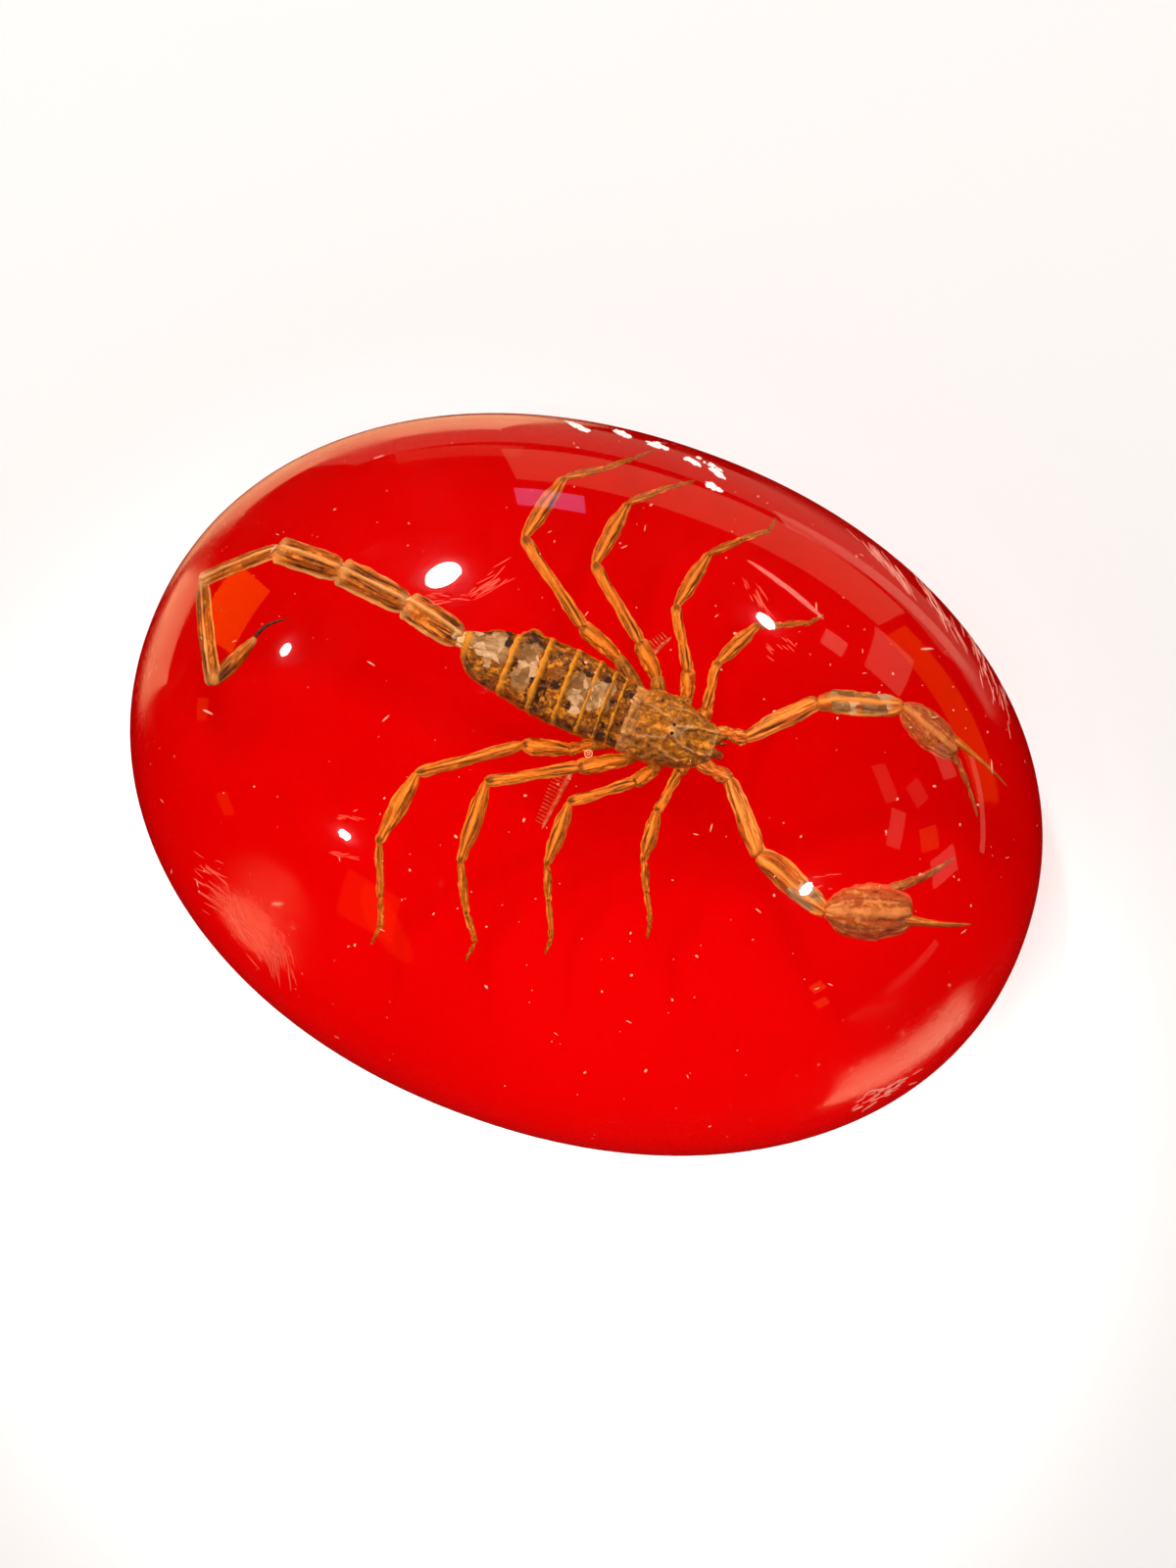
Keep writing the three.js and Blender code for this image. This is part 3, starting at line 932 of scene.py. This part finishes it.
# Shrivelled skin: waxy orange folds between dark grooves, with a dark dot at every joint, and a painted
# highlight along the keels.
limb_chitin = chitin("Chitin, legs, dried and wrinkled", "#EC8022", "#B85408", "#321002", dots=0.7)
for side, (slimness, reaches) in LEGS.items():
    spot, parts = Vector(HIPS[side]), []
    for name, (reach, heading) in zip(list(JOINTS)[-len(reaches) :], reaches):
        width, rise = JOINTS[name]
        length = reach / math.cos(math.radians(rise))
        shape = {"depth": 0.85, "number": len(parts)}
        parts.append(lay(pods[name], spot, length + 0.12, width * slimness, heading, rise, **shape)[0])
        spot = spot + rise_along(length, heading, rise)
    leg = refine(join(f"leg_{side}", parts), levels=2, wrinkle=0.5, lumps=0.16, fold=0.6)
    belongs(leg, limb_chitin)

# ------------------------------------------------------------------------------
# Combs. A pair of feeler combs hangs under the body behind the last legs: a thin pale spine with a row of
# teeth.

# Place, length, heading, which way the teeth point from it, and how many they are.
COMBS = {"right": ((-0.6, -1.2, 12.3), 5.2, -97, -90, 15), "left": ((1.6, 8.4, 12.3), 3.4, 62, 90, 10)}

comb_spine = grow("comb_spine", ((0, 0.8, 0.6), (0.1, 1), (0.7, 0.8), (1, 0.3)), sides=12)
comb_tooth = grow("comb_tooth", ((0, 0.9), (0.3, 0.7), (0.75, 1), (1, 0.4)), sides=8)
# Thin skin, hardly streaked, painted pinkish orange for the red light of the backing behind it.
comb_chitin = chitin("Chitin, combs, thin and pale", "#EE8458", "#C83A18", "#8E1C0C", streaks=0.3, rims=0.4)
for side, (start, length, heading, aside, teeth) in COMBS.items():
    spine, _ = lay(comb_spine, start, length, 0.5, heading, depth=0.5)
    parts = [spine]
    for count in range(teeth):
        root = Vector(start) + rise_along(length * (0.12 + 0.84 * count / teeth), heading, 0)
        parts.append(lay(comb_tooth, root, 1.3 - 0.5 * count / teeth, 0.15, heading + aside, number=count)[0])
    comb = refine(join(f"pecten_{side}", parts), levels=1, lumps=0.05)
    belongs(comb, comb_chitin)

for master in (
    coxa, jaw, jaw_finger, tail_link, collar, bulb_pod, thorn_pod, upper_arm, lower_arm, hand_pod, comb_spine,
    comb_tooth, *set(pods.values()),
):
    bpy.data.objects.remove(master)

# ------------------------------------------------------------------------------
# Dust. Pale specks and short fibres that settled on each pour, drawn a little coarser than life so that they
# show.

FLAW_SEED = 41
DUST_COUNT = 320
DUST_FIELD = (40, 30)              # half the length and width that it is strewn over, in mm as all below
DUST_RADIUS = (0.05, 0.16)         # most are near the small end
SHOULDER_LEVEL = 12                # the dome's skin is higher than this wherever there is dust
DUST_COVER, DEEPEST_LEVEL = 0.3, 10.2
FIBRE_SHARE, FIBRE_STRETCH = 0.18, 5


def crown_level(x, y):
    """The height of the dome's surface over a place in plan, all in mm."""
    share = 1 - abs(2 * x * MM / LENGTH) ** PEBBLE_POWER - abs(2 * y * MM / WIDTH) ** PEBBLE_POWER
    return (WIDEST_LEVEL + (HEIGHT - WIDEST_LEVEL) * max(0.0, share) ** (1 / PEBBLE_POWER)) / MM


def plain(name, colour, rough):
    """One colour and one roughness."""
    made, tree = new_material(name)
    shader = add(tree, "BsdfPrincipled", {"Base Color": linear(colour), "Roughness": rough})
    add(tree, "OutputMaterial", {"Surface": shader})
    return made


chance = random.Random(FLAW_SEED)
bpy.ops.object.select_all(action="DESELECT")
bpy.ops.mesh.primitive_ico_sphere_add(subdivisions=1, radius=1, calc_uvs=False)
grain = start_piece("grain")
close_piece()
grains = []
while len(grains) < DUST_COUNT:
    x, y = [chance.uniform(-half, half) for half in DUST_FIELD]
    top = crown_level(x, y)
    if top < SHOULDER_LEVEL:
        continue
    radius = DUST_RADIUS[0] + (DUST_RADIUS[1] - DUST_RADIUS[0]) * chance.random() ** 3
    stretch = FIBRE_STRETCH if chance.random() < FIBRE_SHARE else chance.uniform(1, 1.5)
    depth = DUST_COVER + chance.random() ** 2 * (top - DUST_COVER - DEEPEST_LEVEL)
    turn = Matrix.Rotation(chance.uniform(0, math.pi), 4, "Z")
    speck = twin(grain)
    sized = Matrix.Diagonal((radius * stretch, radius * 0.8, radius * 0.6, 1))
    speck.data.transform(Matrix.Scale(MM, 4) @ Matrix.Translation((x, y, top - depth)) @ turn @ sized)
    grains.append(speck)
# Lint and resin dust: dry and matt, painted pinkish for the red light from the backing below.
belongs(join("dust", grains), plain("Dust, dry, painted pink by the backing's light", "#F0A48C", 0.8))
bpy.data.objects.remove(grain)

# ------------------------------------------------------------------------------
# Bubble. One bubble of air that caught on a leg as the resin set. Only its outline and the glint of its far
# side are made, as two rings with a painted highlight; they are the only bright parts of it.

BUBBLE_PLACE = (0.4, -0.1, 17)
BUBBLE_HIGHLIGHT_RINGS = ((0.3, 0.035), (0.12, 0.03))        # radius and thickness

rings = []
for radius, rim in BUBBLE_HIGHLIGHT_RINGS:
    bpy.ops.object.select_all(action="DESELECT")
    bpy.ops.mesh.primitive_torus_add(
        major_segments=32, minor_segments=10, major_radius=radius * MM, minor_radius=rim * MM,
        location=Vector(BUBBLE_PLACE) * MM,
    )
    rings.append(start_piece("ring"))
    close_piece()
# Air against resin: a painted highlight, a bright, glossy, warm line.
belongs(join("bubble_rim_highlight", rings), plain("Air bubble's rim, painted highlight, glossy", "#E8B080", 0.2))


# ------------------------------------------------------------------------------
# Chips and scuffs. White chips knocked out of the shoulder at the back, short scuffs on the rim where the
# block rubbed in its box, and fine groups of wiping scuffs on the crown. They are slivers of the dome's skin.
# The scuffs are real hairlines painted paler with the glint of the lamps and lit walls that shine off them.

CHIPS = (                          # where in plan, how long, how wide and which way
    (-11.1, 28.2, 1.6, 0.5, -15), (-7.4, 29.2, 2.8, 0.5, -28), (-3.7, 28.9, 1.2, 0.8, -20),
    (-0.5, 28.2, 1.1, 0.7, -20), (1.2, 28.6, 3.6, 0.6, -22), (2.3, 26.0, 2.5, 0.5, -12),
)
CHIP_FLAKES = 6                    # slivers in a chip
SKIN_PROUD = 1.0008                # a hair outside the dome's own surface
RIM_SCUFF_GLINTS = (                     # where in plan, half length, half width and turn of a patch, then its
    (19.5, 25.4, 3.6, 0.5, -32, -42, 34, 1.2),     # strokes' turn, number and half length
    (30.4, 20.3, 4.5, 0.9, -50, -64, 44, 0.9), (24.8, 23.6, 3.2, 0.6, -42, -52, 34, 1.1),
    (34.6, -17.4, 3.0, 0.5, 49, 49, 40, 0.5),
)
WIPING_SCUFF_GLINTS = (
    (-26.2, -21.8, 1.8, 1.2, -40, -14, 30, 1.0), (-18.6, -25.4, 1.4, 1.3, -40, -62, 30, 1.0),
    (-22.0, -23.6, 2.6, 1.4, -45, -35, 30, 0.8), (-12.2, 9.2, 1.8, 0.8, 55, 55, 26, 0.8),
    (-15.4, 6.9, 1.6, 0.5, 20, 20, 16, 0.6), (9.6, 16.6, 1.5, 0.5, -30, -42, 18, 0.7),
    (12.6, 13.0, 1.4, 0.5, 40, -20, 12, 0.5), (-16.0, -12.9, 0.9, 0.3, 20, 10, 8, 0.5),
    (-15.6, -16.0, 0.9, 0.3, 20, 10, 8, 0.5), (22.6, -4.6, 1.2, 0.6, 45, 30, 10, 0.5),
)
SCUFF_WIDTH = 0.03                 # half of it


def flake(x, y, turn, reach, stretch, ragged):
    """A ragged sliver of the dome's skin over a place in plan: its half width, stretched along its turn."""
    copy = twin(disc)
    run, side = math.cos(math.radians(turn)), math.sin(math.radians(turn))
    for corner in copy.data.vertices:
        size = reach * chance.uniform(*ragged)
        ahead, aside = corner.co.x * size * stretch, corner.co.y * size
        px, py = x + ahead * run - aside * side, y + ahead * side + aside * run
        spot = Vector((px * MM, py * MM, crown_level(px, py) * MM - WIDEST_LEVEL)) * SKIN_PROUD
        corner.co = spot + Vector((0, 0, WIDEST_LEVEL))
    return copy


def marks(name, flakes, thick, material):
    """Flakes as one piece with a little thickness."""
    piece = join(name, flakes)
    wall = piece.modifiers.new("depth", "SOLIDIFY")
    wall.thickness = thick * MM
    bpy.ops.object.modifier_apply(modifier=wall.name)
    bpy.ops.object.mode_set(mode="EDIT")
    close_piece(sharp=35)
    belongs(piece, material)


bpy.ops.object.select_all(action="DESELECT")
bpy.ops.mesh.primitive_circle_add(vertices=14, radius=1, fill_type="TRIFAN", calc_uvs=False)
disc = start_piece("disc")
bpy.ops.object.mode_set(mode="OBJECT")
chips = []
for x, y, length, width, turn in CHIPS:
    run, side = math.cos(math.radians(turn)), math.sin(math.radians(turn))
    for count in range(CHIP_FLAKES):
        along, aside = chance.uniform(-0.5, 0.5) * length, chance.uniform(-0.5, 0.5) * width
        middle = (x + along * run - aside * side, y + along * side + aside * run)
        chips.append(flake(*middle, turn, chance.uniform(0.14, 0.4), chance.uniform(1.0, 2.6), (0.6, 1.2)))
# Broken resin: white and rough.
marks("shoulder_chips", chips, 0.04, plain("Resin, chipped, white", "#FBEAE4", 0.6))

# Scratched resin: dull hairlines with a painted glint, palest on the rim.
for name, patches, finish, colour in (
    ("rim_scuffs_and_glints", RIM_SCUFF_GLINTS, "Resin, scuffed, whitish", "#F0A28C"),
    ("wiping_scuffs_and_glints", WIPING_SCUFF_GLINTS, "Resin, lightly scuffed", "#D84C36"),
):
    strokes = []
    for x, y, long, wide, patch_turn, turn, total, reach in patches:
        run, side = math.cos(math.radians(patch_turn)), math.sin(math.radians(patch_turn))
        for count in range(total):
            along, aside = chance.gauss(0, 0.6) * long, chance.gauss(0, 0.6) * wide
            middle = (x + along * run - aside * side, y + along * side + aside * run)
            half = SCUFF_WIDTH * chance.uniform(0.5, 1.4)
            stretch = reach * chance.uniform(0.4, 1.2) / half
            strokes.append(flake(*middle, turn + chance.gauss(0, 6), half, stretch, (0.9, 1.1)))
    marks(name, strokes, 0.01, plain(finish, colour, 0.7))
bpy.data.objects.remove(disc)

# ------------------------------------------------------------------------------
# Floor and sky. A wide sheet of pale paper on a table, under an even white sky.

FLOOR_SIZE = 12
PAPER_FIBRE = 0.6 * MM
FLOOR_GLOW, SKY_GLOW = 0.18, 0.3

bpy.ops.object.select_all(action="DESELECT")
bpy.ops.mesh.primitive_plane_add(size=FLOOR_SIZE)
floor = start_piece("floor")
close_piece()
# Paper: matt, faintly warm, with hardly any fibre to be seen.
made, tree = new_material("Paper, pale, matt")
place = add(tree, "TexCoord").outputs["Object"]
fibre = add(tree, "TexNoise", {"Vector": place, "Scale": 1 / PAPER_FIBRE})
tone = add(tree, "ValToRGB", {0: fibre}, stops=((0.3, linear("#F4F2EF")), (0.7, linear("#F8F6F3"))))
paper = add(tree, "BsdfPrincipled", {
    "Base Color": tone,
    "Roughness": 0.9,
    "Specular IOR Level": 0.1,
    "Emission Color": linear("#FFFFFF"),
    "Emission Strength": FLOOR_GLOW,
})
add(tree, "OutputMaterial", {"Surface": paper})
floor.data.materials.append(made)
floor.visible_glossy = False       # the real bench is dark where the dome's steep side mirrors it

world = bpy.data.worlds.new("studio")
bpy.context.scene.world = world
world.use_nodes = True
world.node_tree.nodes.clear()
glow = add(world.node_tree, "Background", {"Color": linear("#FFFFFF"), "Strength": SKY_GLOW})
add(world.node_tree, "OutputWorld", {"Surface": glow})
world.cycles_visibility.glossy = False


# ------------------------------------------------------------------------------
# Lamps and cards. Three big softboxes light the block and its table. The polished crown mirrors none of them,
# but only the small ceiling lamps, and the walls, shelves, windows and signs of a shop, which are lit cards.

AIM = Vector((0, 0, 20)) * MM
CARD_DISTANCE = 0.6
SOFTBOXES = (                      # turn, elevation, distance and size in metres, power in watts
    ("key_softbox", -140, 58, 0.9, 0.5, 1.88), ("ceiling_softbox", 0, 88, 1.2, 1.2, 1.26),
    ("fill_softbox", -40, 45, 1.0, 0.9, 0.94),
)
CEILING_LAMPS = (                  # turn, elevation, degrees across and down, radiance, colour, tilt
    ("ceiling_lamp_1", -137.2, 42.5, 7.8, 4.8, 50, "#FFFFFF", 37),
    ("ceiling_lamp_2", 165.0, 34.5, 3.9, 2.6, 48, "#FFFFFF", -49),
    ("ceiling_lamp_3", 83.5, 52.5, 3.6, 2.0, 50, "#FFFFFF", -8),
    ("ceiling_lamp_4", -46.4, 42.6, 2.5, 2.3, 50, "#FFFFFF", 0),
    ("ceiling_lamp_5", -98.1, 32.4, 2.8, 2.1, 50, "#FFFFFF", -24),
)
CARDS = (
    ("far_wall", 179, -1, 48, 20, 0.6, "#FFD0A0", 3),
    ("near_wall", -37.6, -14.5, 27, 12, 3.6, "#FFB080", 87),
    ("near_wall_2", -39.9, 7.4, 25, 10, 1.2, "#FFA070", 94),
    ("poster", -161.5, 17.5, 9, 7.5, 1.7, "#9FB0FF", 0),
    ("shop_sign", -102, 8, 14, 20, 3.2, "#FF6800", -8),
    ("lit_shelf", 136, 1, 34, 14, 1.2, "#FF6C0C", 4),
    ("bench_far", -175, -28, 74, 26, 0.3, "#FFD8B4", 0),
    ("bench_edge", 156, -19, 36, 8, 0.7, "#FFE0C4", 14),
    ("bench_far_left", -137, -42, 36, 28, 1.3, "#FFD8A0", 0),
    ("far_wall_end", -151, -8, 16, 8, 0.22, "#FFD0A0", -5),
    ("bench_left", -96, -26, 20, 26, 2.0, "#FFD098", 0),
    ("bench_right", 66, -23, 30, 22, 3.2, "#FFD4A8", -10),
    ("tube_lamp", 166.5, 19.5, 14, 2.0, 3.6, "#FFD8C0", -18),
    ("shelf_top", 148, 15, 8, 17, 0.7, "#FFE2C0", 20),
    ("window_1", 155, 26, 4, 6, 1.1, "#FFE2C0", 15),
    ("window_2", 120.7, 37.6, 8, 4, 0.4, "#FFD0B0", 10),
    ("window_3", 118.7, 29, 5, 5, 0.35, "#FFD0B0", 30),
    ("window_4", 109, 36, 8, 4, 0.65, "#FFDCC0", -10),
    ("window_5", 108, 26, 5, 6, 0.8, "#FF9A40", 20),
    ("window_6", 103, 19.5, 6, 9, 0.8, "#FFDCC0", 35),
    ("window_7", 126.4, 16.7, 7, 6, 0.7, "#FFDCC0", 10),
    ("door_edge", 118, 4, 20, 2.6, 1.1, "#FFC8A8", 0),
    ("leaflet_1", 79, 14, 17, 3, 0.4, "#FFD8C0", -12),
    ("leaflet_2", 66, 12, 13, 3, 0.35, "#FFD8C0", -35),
    ("price_tag_1", 59.7, 31.5, 3, 3, 1.4, "#FF9040", 0),
    ("price_tag_2", 57.7, 26.2, 3, 3, 1.2, "#FF9040", 0),
    ("price_tag_3", -80.4, 9.5, 5, 5, 1.0, "#FF7020", 0),
    ("price_tag_4", -59.3, 12.3, 5, 5, 0.8, "#FF7020", 0),
    ("sign_glow", -28.8, 31.6, 16, 10, 0.9, "#FF5810", -70),
    ("sign_glow_2", -24.0, 30.0, 21, 7, 0.6, "#FF5810", -50),
)
ROUND_CARDS = ("near_wall", "near_wall_2", "tube_lamp", "sign_glow_2")
POOL_MIDDLE = Vector((1, -21, 7)) * MM
POOL_RADIUS = 63 * MM
POOL_TURN, POOL_ELEVATION = -140, 70
POOL_DISTANCE = 0.9
POOL_POWER = 34


def toward(turn, elevation):
    """The direction at an azimuth, counted from -Y towards +X, and an elevation, both in degrees."""
    turn, elevation = math.radians(turn), math.radians(elevation)
    level = math.cos(elevation)
    return Vector((math.sin(turn) * level, -math.cos(turn) * level, math.sin(elevation)))


def facing(turn, elevation):
    """The turn of a lamp or camera that looks back along a direction."""
    return toward(turn, elevation).to_track_quat("Z", "Y")


def lamp(name, turn, elevation, distance, size, power, seen=True):
    """A round white lamp aimed at the block from a direction."""
    light = bpy.data.lights.new(name, "AREA")
    light.shape = "DISK"
    light.size = size
    light.energy = power
    light.cycles.use_multiple_importance_sampling = seen
    made = bpy.data.objects.new(name, light)
    bpy.context.scene.collection.objects.link(made)
    made.location = AIM + toward(turn, elevation) * distance
    made.rotation_euler = facing(turn, elevation).to_euler()
    made.visible_camera = False
    made.visible_glossy = seen
    made.visible_transmission = False
    return made


def card(name, turn, elevation, wide, high, radiance, colour, tilt, shape):
    """A lamp or lit card that the dome mirrors, tilted about its middle."""
    width, height = [2 * CARD_DISTANCE * math.tan(math.radians(side / 2)) for side in (wide, high)]
    made = lamp(name, turn, elevation, CARD_DISTANCE, width, 0.0)
    light = made.data
    light.shape = shape
    light.size_y = height
    light.color = linear(colour)[:3]
    light.energy = radiance * math.pi * light.size * light.size_y
    upright = facing(turn, elevation).to_matrix()
    made.rotation_euler = (upright @ Matrix.Rotation(math.radians(tilt), 3, "Z")).to_euler()


for softbox in SOFTBOXES:
    lamp(*softbox, seen=False)
for row in CEILING_LAMPS:
    card(*row, shape="ELLIPSE")

# A shadowless pool of light lies on the near side of the block, and fades to nothing at its far end.
pool = bpy.data.lights.new("pool_of_light", "SPOT")
pool.energy = POOL_POWER
pool.spot_blend = 1.0
pool.spot_size = 2 * math.atan(POOL_RADIUS / POOL_DISTANCE)
pool.shadow_soft_size = 0.01
pool.use_shadow = False
pool.cycles.use_multiple_importance_sampling = False
pool_lamp = bpy.data.objects.new("pool_of_light", pool)
bpy.context.scene.collection.objects.link(pool_lamp)
pool_lamp.location = POOL_MIDDLE + toward(POOL_TURN, POOL_ELEVATION) * POOL_DISTANCE
pool_lamp.rotation_euler = facing(POOL_TURN, POOL_ELEVATION).to_euler()
pool_lamp.visible_glossy = pool_lamp.visible_camera = pool_lamp.visible_transmission = False

for row in CARDS:
    card(*row, shape="ELLIPSE" if row[0] in ROUND_CARDS else "RECTANGLE")

# ------------------------------------------------------------------------------
# Camera. It looks down steeply on the block, a hand's breadth above the table and a little to the right.

CAMERA_TURN, CAMERA_ELEVATION = 20.4, 80
CAMERA_DISTANCE = 252 * MM
CAMERA_TARGET = Vector((0.5, -0.5, 8)) * MM
SENSOR_LONG_SIDE = 36
LENS = 64.3
LIGHT_BOUNCES = 16                 # enough to pass in and out of the block after crossing the specimen

camera = bpy.data.objects.new("camera", bpy.data.cameras.new("camera"))
bpy.context.scene.collection.objects.link(camera)
camera.data.sensor_width = SENSOR_LONG_SIDE
camera.data.lens = LENS
camera.location = CAMERA_TARGET + toward(CAMERA_TURN, CAMERA_ELEVATION) * CAMERA_DISTANCE
camera.rotation_euler = facing(CAMERA_TURN, CAMERA_ELEVATION).to_euler()
bpy.context.scene.camera = camera

scene = bpy.context.scene
scene.view_settings.view_transform = "Standard"
scene.cycles.caustics_reflective = False
scene.cycles.caustics_refractive = True
scene.cycles.max_bounces = scene.cycles.transmission_bounces = LIGHT_BOUNCES
